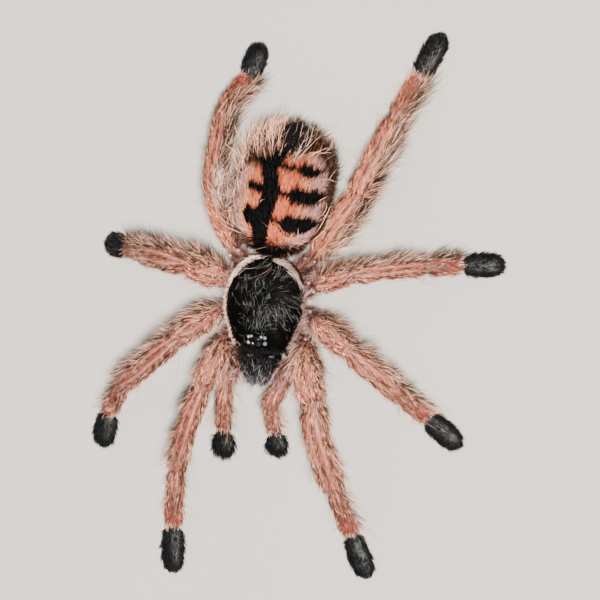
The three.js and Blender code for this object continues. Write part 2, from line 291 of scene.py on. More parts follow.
def limbJoints(limb):  # the limb's points from its root to the tip of its foot
    meshes = [nodeMesh(name)[0] for name in limbNodes(limb)]
    middles = []
    for a, b in zip(meshes, meshes[1:]):
        middles.append((roundCut(a, b).mean(axis=0) + roundCut(b, a).mean(axis=0)) / 2)
    return np.array([farEnd(meshes[0], middles[0]), *middles, farEnd(meshes[-1], middles[-1])])


joints = {limb: limbJoints(limb) for limb in limbNames}

skinLook = {
    "voxel": 0.14,
    "smoothing": 9,
    "settling": 2,  # rounds of smoothing once the skin lies under the coat
    "limbDepth": 0.17,  # how deep the skin lies under the coat
    "footDepth": 0.12,
    "abdomenDepth": 0.24,
    "crease": (0.1, 0.28),  # how much deeper it lies at the joints, and over what length
    "palpRose": 0.3,
    "hip": {"leg": (4.1, 1.7), "palp": (5.9, 3.3)},  # millimetres along: the painted shade near the hip ends, and is full
    "jointBall": 0.84,  # share of the limb's thickness that fills the thin cuts at the joints
    "rootBall": (0.55, 0.55, 0.5),
    "rootInwards": 0.175,
    "waistBall": (0.55, 1.2, 0.55),
    "spinneretBall": 0.42,
    "core": {"middle": (0, -0.1, 2.75), "radii": (2.75, 3.6, 0.95)},  # the flesh between the two plates
    "lowest": 0.012,
}
fleshNodes = [node for limb in limbNames for node in limbNodes(limb)]
fleshNodes += ["pedicel", "abdomen", "spinneret_left", "spinneret_right"]


def kindOf(node):
    names = {"pedicel": "core", "spinneret_left": "spinneret", "spinneret_right": "spinneret"}
    return kindNames.index(names.get(node, node.split("_")[-1]))


def roughFlesh():
    look = skinLook
    pieces = [nodeMesh(name) for name in fleshNodes]
    for limb in limbNames:
        course = joints[limb]
        meshes = [nodeMesh(name)[0] for name in limbNodes(limb)]
        for before, after, joint in zip(meshes, meshes[1:], course[1:]):
            spokes = np.sort(np.linalg.norm(roundCut(before, after) - joint, axis=1))
            pieces.append(ball(joint, spokes[: len(spokes) // 2].mean() * look["jointBall"]))
        pieces.append(ball(course[0] + (course[0] - course[1]) * look["rootInwards"], look["rootBall"]))
    pieces.append(ball(fromProsoma(look["core"]["middle"]), look["core"]["radii"], prosomaAxes, 20, 36))
    pieces.append(ball(nodeMesh("pedicel")[0].mean(axis=0), look["waistBall"], prosomaAxes))
    for side in sides:
        spinneret = nodeMesh(f"spinneret_{side}")[0]
        root = spinneret[np.argsort(spinneret @ abdomenRear)[:8]].mean(axis=0)
        pieces.append(ball(root, look["spinneretBall"]))
    return joined(pieces)


def nearestNodes(points):  # for each point, the number of the flesh node whose surface is nearest
    meshes = [nodeMesh(name) for name in fleshNodes]
    owner = np.repeat(np.arange(len(meshes)), [len(faces) for points, faces in meshes])
    allPoints, allFaces = joined(meshes)
    tree = BVHTree.FromPolygons(allPoints.tolist(), allFaces.tolist())
    return owner[[tree.find_nearest(p)[2] for p in points.tolist()]]


def centreLine(points, start, end):
    # a smooth line through the middle of a limb piece: cubic in the share of the way from start to end
    chord = end - start
    share = (points - start) @ chord / (chord @ chord)
    powers = np.stack([share**k for k in range(4)], axis=1)
    slopes = np.stack([0 * share, share**0, 2 * share, 3 * share**2], axis=1)
    weights = np.linalg.lstsq(powers, points, rcond=None)[0]
    return share, powers @ weights, unit(slopes @ weights)


def buildSkin():
    look = skinLook
    points, quads, edges = remeshed(*roughFlesh(), look["voxel"])
    points = relaxed(points, edges, look["smoothing"])
    owner = nearestNodes(points)
    normals = pointNormals(points, quads)
    count = len(points)
    spot, lie = np.zeros((2, count, 3))  # spot on limbs: millimetres from the hip, sideways, upwards
    mark = np.tile([9.0, 0, 0], (count, 1))  # millimetres to the ankle, how rosy, how near the hip
    kind = np.array([kindOf(node) for node in fleshNodes])[owner]
    limbOf = np.full(count, -1)
    depth = np.full(count, look["limbDepth"])
    for number, limb in enumerate(limbNames):
        course, walked = joints[limb], 0
        lengths = np.linalg.norm(np.diff(course, axis=0), axis=1)
        for node, start, end, length in zip(limbNodes(limb), course, course[1:], lengths):
            mine = owner == fleshNodes.index(node)
            share, middle, tangent = centreLine(points[mine], start, end)
            sideways = unit(np.cross(tangent, zenith))
            out = unit(points[mine] - middle)
            spot[mine, 0] = walked + np.clip(share, -0.1, 1.1) * length
            spot[mine, 1] = (out * sideways).sum(axis=1)
            spot[mine, 2] = (out * np.cross(sideways, tangent)).sum(axis=1)
            lie[mine] = tangent
            limbOf[mine] = number
            walked += length
        mine = limbOf == number
        title = limb.split("_")[0]
        toAnkle = walked - lengths[-1] - spot[mine, 0]
        mark[mine, 0] = toAnkle
        mark[mine, 1] = look["palpRose"] if title == "palp" else 1
        mark[mine, 2] = smoothStep(spot[mine, 0], *look["hip"][title])
        depth[mine] += (look["footDepth"] - look["limbDepth"]) * smoothStep(toAnkle, 0.3, -0.4)
        crease, width = look["crease"]
        for joint in np.cumsum(lengths)[:-1]:
            depth[mine] += crease * bell(spot[mine, 0] - joint, width)
    isAbdomen = np.isin(kind, [kindNames.index("abdomen"), kindNames.index("spinneret")])
    spot[isAbdomen] = inAbdomen(points[isAbdomen])
    lie[isAbdomen] = abdomenRear
    depth[isAbdomen] = look["abdomenDepth"]
    isCore = kind == kindNames.index("core")
    lie[isCore] = unit(points[isCore] - prosomaMiddle)
    mark[isCore, 2] = 1
    depth[isCore] = 0
    points = relaxed(points - normals * depth[:, None], edges, look["settling"])
    points[:, 2] = np.maximum(points[:, 2], look["lowest"])
    normals = pointNormals(points, quads)
    surface = {"points": points, "quads": quads, "normals": normals, "lie": alongSurface(lie, normals)}
    return {**surface, "spot": spot, "mark": mark, "kind": kind, "limb": limbOf, "isAbdomen": isAbdomen * 1.0}


skin = buildSkin()
print("skin shape:", len(skin["points"]), "points")


class Channel:  # a value inside a node tree, on which sums are written as on a plain number
    def __init__(self, tree, socket):
        self.tree, self.socket = tree, socket

    def maths(self, operation, *others):
        return addNode(self.tree, "ShaderNodeMath", dict(enumerate((self, *others))), operation=operation)

    def __add__(self, other):
        return self.maths("ADD", other)

    def __sub__(self, other):
        return self.maths("SUBTRACT", other)

    def __mul__(self, other):
        return self.maths("MULTIPLY", other)

    def __abs__(self):
        return self.maths("ABSOLUTE")

    def atLeast(self, other):
        return self.maths("MAXIMUM", other)


def feed(node, links):
    for title, value in links.items():
        socket = node.inputs[title]
        if isinstance(value, Channel):
            value.tree.links.new(value.socket, socket)
        else:
            socket.default_value = (*value, 1) if socket.type == "RGBA" else value


def addNode(tree, kind, links=None, output=0, **settings):
    node = tree.nodes.new(kind)
    for title, value in settings.items():
        setattr(node, title, value)
    feed(node, links or {})
    return Channel(tree, node.outputs[output])


def channels(tree, node):
    return {socket.name: Channel(tree, socket) for socket in node.outputs}


def ramp(value, low, high, start=0.0, end=1.0):  # smooth step from low to high
    links = {"Value": value, "From Min": low, "From Max": high, "To Min": start, "To Max": end}
    return addNode(value.tree, "ShaderNodeMapRange", links, interpolation_type="SMOOTHSTEP")


def mixed(share, first, second):
    return addNode(share.tree, "ShaderNodeMix", {0: share, 6: first, 7: second}, 2, data_type="RGBA")


def toned(paint, tone):
    links = {0: 1.0, 6: paint, 7: tone}
    return addNode(paint.tree, "ShaderNodeMix", links, 2, data_type="RGBA", blend_type="MULTIPLY")


def layered(base, paints, layers):  # each layer is how much of it shows and the name of its paint
    for share, title in layers:
        base = mixed(share, base, paints[title])
    return base


def noise(vector, scale, detail=2.0, stretch=(1, 1, 1)):
    stretched = addNode(vector.tree, "ShaderNodeVectorMath", {0: vector, 1: stretch}, operation="MULTIPLY")
    return addNode(vector.tree, "ShaderNodeTexNoise", {"Vector": stretched, "Scale": scale, "Detail": detail})


def bump(height, strength, distance):
    links = {"Height": height, "Strength": strength, "Distance": distance}
    return addNode(height.tree, "ShaderNodeBump", links)


def parts(vector):
    node = vector.tree.nodes.new("ShaderNodeSeparateXYZ")
    feed(node, {0: vector})
    return channels(vector.tree, node).values()


def attribute(tree, name, output="Fac"):
    return addNode(tree, "ShaderNodeAttribute", output=output, attribute_name=name)


def objectPlace(tree):
    return addNode(tree, "ShaderNodeTexCoord", output="Object")


def newGroup(name, inputs, outputs):
    tree = bpy.data.node_groups.new(name, "ShaderNodeTree")
    for way, sockets in (("INPUT", inputs), ("OUTPUT", outputs)):
        for title, kind in sockets.items():
            tree.interface.new_socket(title, in_out=way, socket_type="NodeSocket" + kind)
    return tree, channels(tree, tree.nodes.new("NodeGroupInput")), tree.nodes.new("NodeGroupOutput")


def useGroup(tree, group, links):
    node = tree.nodes.new("ShaderNodeGroup")
    node.node_tree = group
    feed(node, links)
    return channels(tree, node)


def newMaterial(name, **sockets):
    material = bpy.data.materials.new(name)
    material.use_nodes = True
    shader = material.node_tree.nodes["Principled BSDF"]
    feed(shader, {title.replace("_", " "): value for title, value in sockets.items()})
    return material, material.node_tree, shader


limbPaint = {
    "dusty": (0.285, 0.075, 0.044),
    "pale": (1.0, 0.41, 0.265),
    "deep": (0.035, 0.012, 0.008),  # thin dark streaks
    "bare": (0.38, 0.13, 0.088),  # the nearly hairless stripes along the top
    "rose": (0.62, 0.2, 0.132),
    "blush": (0.52, 0.1, 0.072),  # just above the ankle
    # partly painted shade: where the limbs meet the body they are dark with shade and with darker hair
    "hip": (0.035, 0.012, 0.01),
    # painted shade on the lower half of each limb
    "underShade": (0.11, 0.038, 0.024),
    "ring": (0.8, 0.5, 0.4),  # the pale hairs round the ankle
    "foot": (0.0018, 0.0018, 0.002),
}
# the bare stripes: sideways from the top, as a share of the radius; up the limb's side and from the ankle
bareStripe = {"middle": 0.38, "half": 0.17, "border": 0.12, "height": (0.2, 0.6), "start": (2.6, 3.8)}


def limbColourGroup():
    # Spot is millimetres from the hip, then sideways and upwards; Mark is millimetres to the ankle,
    # how rosy the limb is there, and how near the hip
    inputs = {"Spot": "Vector", "Mark": "Vector"}
    tree, given, out = newGroup("limbColour", inputs, {"Color": "Color", "Bare": "Float"})
    along, side, top = parts(given["Spot"])
    toAnkle, rosy, hip = parts(given["Mark"])
    streaks = noise(given["Spot"], 1.6, 3, (0.5, 3.4, 3.4))
    lines = noise(given["Spot"], 2.3, 2, (0.55, 3.6, 3.6))
    patches = noise(given["Spot"], 1, 2, (0.9, 1.6, 1.6))
    aside = abs(abs(side) - bareStripe["middle"])
    onTop = ramp(top, *bareStripe["height"]) * ramp(toAnkle, *bareStripe["start"])
    half, border = bareStripe["half"], bareStripe["border"]
    edge = ramp(aside, half * 0.8, half, 0, 0.75) * onTop * ramp(aside, half + border, half)
    bare = ramp(aside, half, half * 0.5, 0, 0.85) * onTop
    fromPalpTip = rosy * -4.5 + 4.5 + along  # palps are short
    ragged = toAnkle + ramp(streaks, 0.2, 0.8, 0.14, -0.14)
    layers = (
        (ramp(lines, 0.49, 0.56, 0, 0.92), "deep"),
        # partly painted shade: darker towards the body over darker hair, over a shorter length on the palps
        (ramp(fromPalpTip, 9, 3, 0, 0.52), "deep"),
        (edge, "pale"),
        (bare, "bare"),
        (ramp(patches, 0.42, 0.7, 0, 0.3), "rose"),
        (ramp(rosy, 1, 0.3, 0, 0.3), "pale"),
        # painted shade on the lower half of each limb
        (ramp(top, 0.0, -0.8, 0, 0.8), "underShade"),
        (rosy * ramp(toAnkle, 2.5, 1.1) * ramp(streaks, 0.25, 0.6, 0.55, 0.95), "rose"),
        (rosy * ramp(toAnkle, 1.5, 0.9, 0, 0.8), "blush"),
        # painted shade near the hip
        (ramp(hip, 0, 1, 0, 0.92), "hip"),
        (ramp(ragged, 0.55, 0.22, 0, 0.8), "ring"),
        (ramp(ragged, 0.12, 0.0), "foot"),
    )
    base = mixed(ramp(streaks, 0.42, 0.58), limbPaint["dusty"], limbPaint["pale"])
    feed(out, {"Color": layered(base, limbPaint, layers), "Bare": bare})
    return tree


abdomenPaint = {
    "black": (0.0009, 0.0009, 0.001),
    "sheen": (0.003, 0.0034, 0.0038),  # the paler hair tips in the black parts
    "orange": (0.66, 0.165, 0.075),
    "cream": (0.7, 0.29, 0.165),
    "lavender": (0.5, 0.26, 0.235),
    "rim": (0.024, 0.01, 0.005),
    "belly": (0.14, 0.065, 0.04),
}
abdomenMarks = {
    # the black bars: millimetres from the front where they meet the stripe, half thickness right and left
    # and by how much each left bar is shorter at its ends
    "rows": ((0.2, 0.25, 0.42, 0), (2.44, 0.8, 0.82, 0.1), (4.78, 0.44, 0.72, 0), (6.98, 0.24, 0.64, 0.9)),
    "slant": 0.3,  # how far a bar runs back for each millimetre outwards, on the flanks
    "slantFrom": 2.9,
    "stripeMiddle": -0.5,  # the stripe starts on the right of the top, swings back to it and away again
    "stripeSwing": ((0.8, 4.0), (6.6, 5.0)),
    "stripeSwings": 0.5,
    "stripeHalf": 0.74,
    "stripeFront": 1.05,
    "stripeEnd": (9.2, 8.0),
    "tuftMiddle": 0.85,  # the black tuft at the rear lies to the animal's left of it
    "tuftHalf": 0.95,
    "tuftStart": 7.9,
    "softness": 0.08,  # of the edges
}


def abdomenColourGroup():
    tree, given, out = newGroup("abdomenColour", {"Spot": "Vector"}, {"Color": "Color"})
    look, paint, soft = abdomenMarks, abdomenPaint, abdomenMarks["softness"]
    wobble = noise(given["Spot"], 3.2, 2, (1, 0.35, 1)) - 0.5
    across, along, up = parts(given["Spot"])
    arc = across.maths("ARCTAN2", up * arcFlatness) * arcRadius + wobble * 0.5
    outwards = abs(arc)
    along = wobble * 0.7 + along
    onLeft, onRight = ramp(arc, -0.3, 0.3), ramp(arc, 0.3, -0.6)
    leave, back = look["stripeSwing"]
    middle = ramp(along, *leave) * ramp(along, *back) * look["stripeSwings"] + look["stripeMiddle"]
    middle = middle + ramp(along, 7.0, 8.3, 0, 0.9)  # and on into the tuft
    wider = ramp(along, 2.4, 1.2, look["stripeHalf"], look["stripeFront"])
    dark = ramp(abs(arc - middle) - ramp(along, *look["stripeEnd"]) * wider, soft, -soft)
    thin = ramp(outwards, 2.0, 1.2, 0, 0.27) * onLeft  # joins bar and stripe
    reachRight = ramp(outwards, 2.6, 1.9) * ramp(onLeft, 1, 0)
    slanted = (outwards - look["slantFrom"]).atLeast(0.0) * -look["slant"] + along
    for row, rightHalf, leftHalf, less in look["rows"]:
        reachLeft = ramp(outwards, 5.4 - less, 3.4 - less) * onLeft
        reachLeft = reachLeft * ramp(outwards, 1 + less / 2, 1.9 + less / 2)
        half = (reachLeft * leftHalf).atLeast(thin).atLeast(reachRight * rightHalf)
        dark = dark.atLeast(ramp(abs(slanted - row) - half, soft, -soft))
    tuft = ramp(along, look["tuftStart"] - 0.4, look["tuftStart"] + 0.3, 0, 0.95)
    tuft = tuft * ramp(abs(arc - look["tuftMiddle"]), look["tuftHalf"] * 1.2, look["tuftHalf"] * 0.8)
    outer = outwards + ramp(arc, 0.3, -0.3, 0, 0.45)  # narrower on the right
    brown = outwards + ramp(along, 5.8, 8.4, 0, 1.1) + ramp(along, 3.8, 5.8, 0, 1.5) * onRight
    fine = noise(given["Spot"], 5.5, 3, (1, 0.22, 1))
    layers = (
        (ramp(outer, 2.9, 3.5), "lavender"),
        (ramp(brown, 4.3, 5.2), "rim"),
        (ramp(outwards, 6.2, 7.5), "belly"),
        ((ramp(along, 5.9, 6.6, 0, 0.96) * onRight).atLeast(ramp(along, 8.0, 8.8)), "rim"),
        (ramp(along, 1.0, 0.45), "black"),
        (ramp(fine, 0.5, 0.68, 0, 0.7), "rim"),
        (ramp(fine, 0.46, 0.3, 0, 0.45), "cream"),
    )
    ground = layered(mixed(ramp(outer, 2.0, 2.6), paint["orange"], paint["cream"]), paint, layers)
    black = mixed(ramp(fine, 0.5, 0.7), paint["black"], paint["sheen"])
    feed(out, {"Color": mixed(dark.atLeast(tuft), ground, black)})
    return tree


def hairShadeGroup():
    # painted shade: a hair is darker towards its root, deep in the coat, and brighter to its tip, and each
    # differs a little from its neighbours
    inputs = {title: "Float" for title in ("Reach", "Tint", "Root", "Tip", "Vary")}
    tree, given, out = newGroup("hairShade", {"Color": "Color", **inputs}, {"Color": "Color"})
    bright = ramp(given["Reach"], 0, 0.85, given["Root"], given["Tip"])
    bright = bright * ((given["Tint"] - 0.5) * given["Vary"] + 1.0)
    scaled = addNode(tree, "ShaderNodeVectorMath", {0: given["Color"], 3: bright}, operation="SCALE")
    feed(out, {"Color": scaled})
    return tree


limbColour = limbColourGroup()
abdomenColour = abdomenColourGroup()
hairShade = hairShadeGroup()


def skinMaterial():
    material, tree, shader = newMaterial("skin", Specular_IOR_Level=0.35)
    spot, mark = attribute(tree, "spot", "Vector"), attribute(tree, "mark", "Vector")
    isAbdomen = attribute(tree, "isAbdomen")
    limb = useGroup(tree, limbColour, {"Spot": spot, "Mark": mark})
    shaded = mixed(limb["Bare"], toned(limb["Color"], (0.2, 0.15, 0.16)), limb["Color"])  # between the hairs
    # painted shade: the abdomen's skin between the hairs is darker than its coat
    belly = toned(useGroup(tree, abdomenColour, {"Spot": spot})["Color"], (0.55, 0.5, 0.5))
    toAnkle, rosy, hip = parts(mark)
    links = {
        "Base Color": mixed(isAbdomen, shaded, belly),
        "Roughness": ramp(hip, 0.3, 0.9, 0.52, 0.28).atLeast(isAbdomen),
        "Normal": bump(noise(objectPlace(tree), 9000, 3), 0.5, 0.00006),
    }
    feed(shader, links)
    return material


def shellMaterial(name, paint, roughness, coat, grain=0.00004, gloss=0.3):
    sockets = {"Coat_Weight": coat, "Coat_Roughness": 0.12, "Specular_IOR_Level": gloss}
    material, tree, shader = newMaterial(name, **sockets)
    patches = noise(objectPlace(tree), 900, 3)
    low, high = (tuple(c * share for c in paint) for share in (0.55, 1.6))
    height = noise(objectPlace(tree), 3600, 3) + patches * 1.5
    links = {
        "Base Color": mixed(ramp(patches, 0.35, 0.7), low, high),
        "Roughness": ramp(patches, 0.3, 0.7, roughness * 0.8, roughness * 1.3),
        "Normal": bump(height, 0.7, grain),
    }
    feed(shader, links)
    return material


def hairMaterial(name, look):
    # look["colour"] is "limb", "abdomen" or one plain colour; root and tip are how bright the hair is there
    material, tree, shader = newMaterial(name, Roughness=look["roughness"], Specular_IOR_Level=look["gloss"])
    base = look["colour"]
    if base == "limb":
        links = {"Spot": attribute(tree, "spot", "Vector"), "Mark": attribute(tree, "mark", "Vector")}
        base = useGroup(tree, limbColour, links)["Color"]
    elif base == "abdomen":
        base = useGroup(tree, abdomenColour, {"Spot": attribute(tree, "spot", "Vector")})["Color"]
    if "tone" in look:
        base = toned(base, look["tone"])
    links = {title: look[title.lower()] for title in ("Root", "Tip", "Vary")}
    links |= {"Color": base, "Reach": attribute(tree, "reach"), "Tint": attribute(tree, "tint")}
    feed(shader, {"Base Color": useGroup(tree, hairShade, links)["Color"]})
    return material


skinValues = {title: skin[title] for title in ("spot", "mark", "isAbdomen")}
addPiece("skin", skin["points"], skin["quads"], skinMaterial(), "limb_coat", fleshNodes, skinValues)


def scatter(surface, count, weight, dice):
    # roots spread over a surface, denser where weight, given for each of its points, is higher
    triangles = surface["triangles"] if "triangles" in surface else split(surface["quads"])
    a, b, c = (surface["points"][corner] for corner in triangles.T)
    area = np.linalg.norm(np.cross(b - a, c - a), axis=1) / 2
    odds = area * weight[triangles].mean(axis=1)
    pick = triangles[dice.choice(len(triangles), count, p=odds / odds.sum())]
    u, v = dice.random(count), dice.random(count)
    over = u + v > 1
    u[over], v[over] = 1 - u[over], 1 - v[over]
    shares = np.stack([1 - u - v, u, v], axis=1)[..., None]
    blended = [title for title in ("points", "normals", "lie", "spot", "mark") if title in surface]
    roots = {title: (surface[title][pick] * shares).sum(axis=1) for title in blended}
    roots["normals"], roots["lie"] = unit(roots["normals"]), unit(roots["lie"])
    return roots | {title: surface[title][pick[:, 0]] for title in ("kind", "limb") if title in surface}


def spike(rings, sides=3):  # faces and unwrap of a spike of so many rings, closed at its root
    faces, corners = [], []
    for ring in range(rings - 1):
        low, high = ring / rings, (ring + 1) / rings
        for j in range(sides):
            a, b = ring * sides + j, ring * sides + (j + 1) % sides
            left, right = j / sides, (j + 1) / sides
            faces += [(a, b, b + sides), (a, b + sides, a + sides)]
            corners.append([(left, low), (right, low), (right, high)])
            corners.append([(left, low), (right, high), (left, high)])
    last = (rings - 1) * sides
    for j in range(sides):
        faces.append((last + j, last + (j + 1) % sides, rings * sides))
        corners.append([(j / sides, 1 - 1 / rings), ((j + 1) / sides, 1 - 1 / rings), ((j + 0.5) / sides, 1)])
    for j in range(1, sides - 1):
        faces.append((0, j + 1, j))
        corners.append([(0, 0), ((j + 1) / sides, 0), (j / sides, 0)])
    return np.array(faces), np.array(corners)


lowestHair = 0.01  # no hair goes below this height


def spikePoints(start, grow, rings, normals, sides=3, sink=0.04):  # sink is how deep a root lies in the skin
    direction = unit(grow["direction"])
    side = unit(np.cross(direction, normals) + 1e-6)
    start = start - normals * sink
    length = grow["length"][:, None]
    points, reach = [], []
    for ring in range(rings):
        t = ring / rings
        centre = start + length * (direction * t + grow["bend"] * t * t)
        up = np.cross(side, unit(direction + 2 * t * grow["bend"]))
        radius = (grow["width"] / 2 * (1 - t) ** 0.7)[:, None]
        for j in range(sides):
            turn = math.pi / 2 - j * 2 * math.pi / sides
            points.append(centre + radius * (math.cos(turn) * side + math.sin(turn) * up))
            reach.append(t)
    points = np.stack([*points, start + length * (direction + grow["bend"])], axis=1)
    points[..., 2] = np.maximum(points[..., 2], lowestHair)
    return points, np.array(reach + [1.0])


def repeated(template, points):  # the same faces on the points of every spike
    count, each = points.shape[:2]
    return (np.arange(count)[:, None, None] * each + template).reshape(-1, 3)


def gathered(roots, grow, share, pull, dice):
    # the tips of neighbouring hairs are drawn together into tufts
    tips = roots["points"] + grow["length"][:, None] * (unit(grow["direction"]) + grow["bend"])
    leaders = dice.choice(len(tips), max(1, int(len(tips) * share)), replace=False)
    tree = KDTree(len(leaders))
    for number, leader in enumerate(leaders):
        tree.insert(roots["points"][leader], number)
    tree.balance()
    nearest = leaders[[tree.find(point)[1] for point in roots["points"].tolist()]]
    grow["bend"] = grow["bend"] + pull * (tips[nearest] - tips) / grow["length"][:, None]


kneeHeight = cadBox[1][2] / mm
patch = 0.003  # side of each hair's patch in the unwrap


def growCoat(name, surface, weight, look, arrange=None, material=None, nth=0):
    # one piece of coat; look says how many hairs, how long, how far they rise and how they curl
    dice = np.random.default_rng(look["seed"] + nth)
    count = look["count"]
    roots = scatter(surface, count, weight, dice)
    rise = np.radians(dice.normal(look["lift"], look["liftVaries"], count))[:, None]
    direction = roots["lie"] * np.cos(rise) + roots["normals"] * np.sin(rise)
    bend = look["follow"] * roots["lie"] - look["droop"] * roots["normals"]
    grow = {
        "direction": unit(direction + dice.normal(0, look["stray"], (count, 3))),
        "bend": bend + dice.normal(0, look["curl"], (count, 3)),
        "length": dice.uniform(*look["length"], count),
        "width": np.full(count, look["width"]),
        "tint": dice.random(count),
    }
    if arrange:
        arrange(roots, grow, dice)
    if "gather" in look:
        gathered(roots, grow, *look["gather"], dice)
    tipHeight = roots["points"][:, 2] + grow["length"] * (grow["direction"] + grow["bend"])[:, 2]
    grow["bend"][:, 2] -= np.maximum(0, tipHeight - kneeHeight) / grow["length"]  # none is above the knees
    points, reach = spikePoints(roots["points"], grow, look["rings"], roots["normals"])
    template, corners = spike(look["rings"])
    uv = look["unwrap"](roots)[:, None, None] + patch * (corners - 0.5)
    each = points.shape[1]
    values = {"reach": np.tile(reach, count), "tint": np.repeat(grow["tint"], each)}
    values |= {title: np.repeat(roots[title], each, axis=0) for title in ("spot", "mark") if title in roots}
    material = material or hairMaterial(name, look)
    faces = repeated(template, points)
    addPiece(name, points.reshape(-1, 3), faces, material, look["slot"], (), values, uv.reshape(-1, 2))


def turnOf(a, b):  # the angle as a share of a whole turn
    return np.arctan2(a, b) / (2 * math.pi) + 0.5


def limbUnwrap(roots):
    row = (roots["limb"] + 0.04 + 0.92 * turnOf(roots["spot"][:, 1], roots["spot"][:, 2])) / len(limbNames)
    return np.stack([0.03 + roots["spot"][:, 0] / 28, row], axis=1)


def abdomenUnwrap(roots):
    across, along, up = roots["spot"].T
    return np.stack([0.02 + 0.9 * along / 12.5, 0.02 + 0.96 * turnOf(across, up)], axis=1)


def planUnwrap(roots):
    return 0.5 + roots["spot"][:, :2] / 8.4


def jawUnwrap(roots):
    return 0.1 + 0.8 * (roots["spot"][:, 1:] + (7, 0)) / (4, 6)


def ofLimbs(names):  # 1 on the skin of these limbs, 0 elsewhere
    return np.isin(skin["limb"], [limbNames.index(name) for name in names]) * 1.0


def ofKind(name):
    return (skin["kind"] == kindNames.index(name)) * 1.0


def bareness():  # 1 in the middle of the nearly hairless stripes, 0 away from them
    aside = np.abs(np.abs(skin["spot"][:, 1]) - bareStripe["middle"])
    shown = smoothStep(aside, bareStripe["half"], bareStripe["half"] * 0.5)
    shown = shown * smoothStep(toAnkle, *bareStripe["start"])
    return shown * smoothStep(skin["spot"][:, 2], *bareStripe["height"])


onLimb = skin["limb"] >= 0
toAnkle, nearHip = skin["mark"][:, 0], skin["mark"][:, 2]
bare = bareness()
facingUp = skin["normals"][:, 2]
level = 1 - np.abs(facingUp)  # 1 on the limb's flanks
rearLegs = ("leg_4_left", "leg_4_right")
ofRearLegs = ofLimbs(rearLegs)
trailing = np.maximum(0, np.where(ofRearLegs > 0, skin["normals"][:, 0], skin["normals"][:, 1]))

plainHair = dict(follow=0, droop=0, curl=0, gloss=0.3)
limbDown = dict(
    plainHair, slot="limb_coat", unwrap=limbUnwrap, seed=11, rings=1,
    length=(0.36, 1.0), width=0.046, lift=9.5, liftVaries=6, stray=0.1, gather=(0.06, 0.35),
    colour="limb", roughness=0.45, gloss=0.4, root=0.24, tip=1.5, vary=1.75,
)
downRegions = {  # how many hairs, on which limbs, and in what tone; the tones paint light and shade, darker on the right front and third legs, warmer on the rear legs
    "limbDownFront_left": (23000, ("leg_1_left", "leg_2_left", "palp_left"), (1, 1, 1)),
    "limbDownFront_right": (23000, ("leg_1_right", "leg_2_right", "palp_right"), (0.95, 0.93, 0.93)),
    "limbDownThird": (17000, ("leg_3_left", "leg_3_right"), (0.96, 0.93, 0.93)),
    "limbDownRear": (26000, rearLegs, (1.06, 0.9, 0.75)),
}


def addLimbDown():
    weight = onLimb * (toAnkle > 0.05) * (1 - 0.6 * nearHip) * (1 - 0.94 * bare)
    for number, (name, (count, limbs, tone)) in enumerate(downRegions.items()):
        growCoat(name, skin, ofLimbs(limbs) * weight, dict(limbDown, count=count, tone=tone), nth=number)


addLimbDown()

paleHair = dict(
    plainHair, slot="limb_coat", unwrap=limbUnwrap, seed=21, count=4300, rings=4,
    length=(0.6, 2.0), width=0.044, lift=38, liftVaries=15, stray=0.2, follow=0.3, droop=0.14, curl=0.22,
    gather=(0.08, 0.4), colour=(0.85, 0.46, 0.32), roughness=0.4, gloss=0.5, root=0.2, tip=1.4, vary=1.3,
)
# partly painted shade: dark hair on the trailing flanks, where the shade around the limbs falls
darkHair = dict(paleHair, seed=25, rings=3, length=(0.7, 1.8), colour=(0.022, 0.0115, 0.006))
wisps = dict(
    paleHair, seed=23, count=330, rings=6, length=(1.3, 2.7), width=0.034, stray=0.26, curl=0.34,
    gather=(0.3, 0.2), colour=(0.42, 0.25, 0.16), vary=1.9,
)
# partly painted highlights: pale strands on the limbs, coloured brighter to stand for the glints on them
glints = dict(
    limbDown, seed=37, count=1700, length=(0.4, 1.0), width=0.04, lift=14, stray=0.12,
    colour=(1.0, 0.6, 0.44), gloss=0.6, root=0.4, tip=1.5, vary=1.6,
)
darks = dict(glints, seed=39, count=1900, colour=(0.03, 0.011, 0.007), gloss=0.3, root=1, tip=1)


def flattenedOnTop(roots, grow, dice):  # hairs on top of a limb stay short and lie down
    top = smoothStep(roots["normals"][:, 2], 0.35, 0.85)
    isRear = np.isin(roots["limb"], [limbNames.index(name) for name in rearLegs])
    facing = np.maximum(0, np.where(isRear, roots["normals"][:, 0], roots["normals"][:, 1]))
    grow["length"] *= (1 - 0.5 * top) * (0.72 + np.where(isRear, 0.8, 0.4) * facing)
    down = roots["lie"] - 0.6 * roots["normals"]
    grow["direction"] = unit(grow["direction"] + 0.75 * top[:, None] * down)


def addLimbHairs():
    weight = onLimb * (1 - ofKind("coxa")) * (toAnkle > 0.4) * (1 - 0.8 * nearHip)
    weight = weight * (1 + 0.6 * ofRearLegs * trailing)
    scattered = (facingUp > -0.2) * (1 - 0.9 * bare)
    hairs = (
        ("paleHairs", 0.1 + 0.95 * trailing * level + 0.4 * level, paleHair, flattenedOnTop),
        ("darkHairs", trailing**1.5 * level, darkHair, flattenedOnTop),
        ("limbWisps", level * (0.35 + trailing), wisps, None),
        ("limbGlints", scattered, glints, None),
        ("limbDarks", scattered, darks, None),
    )
    materials = {name: hairMaterial(name, look) for name, spread, look, arrange in hairs}
    for number, side in enumerate(sides):
        ofSide = ofLimbs(limb for limb in limbNames if limb.endswith(side))
        for name, spread, look, arrange in hairs:
            growCoat(f"{name}_{side}", skin, ofSide * weight * spread, look, arrange, materials[name], number)


addLimbHairs()

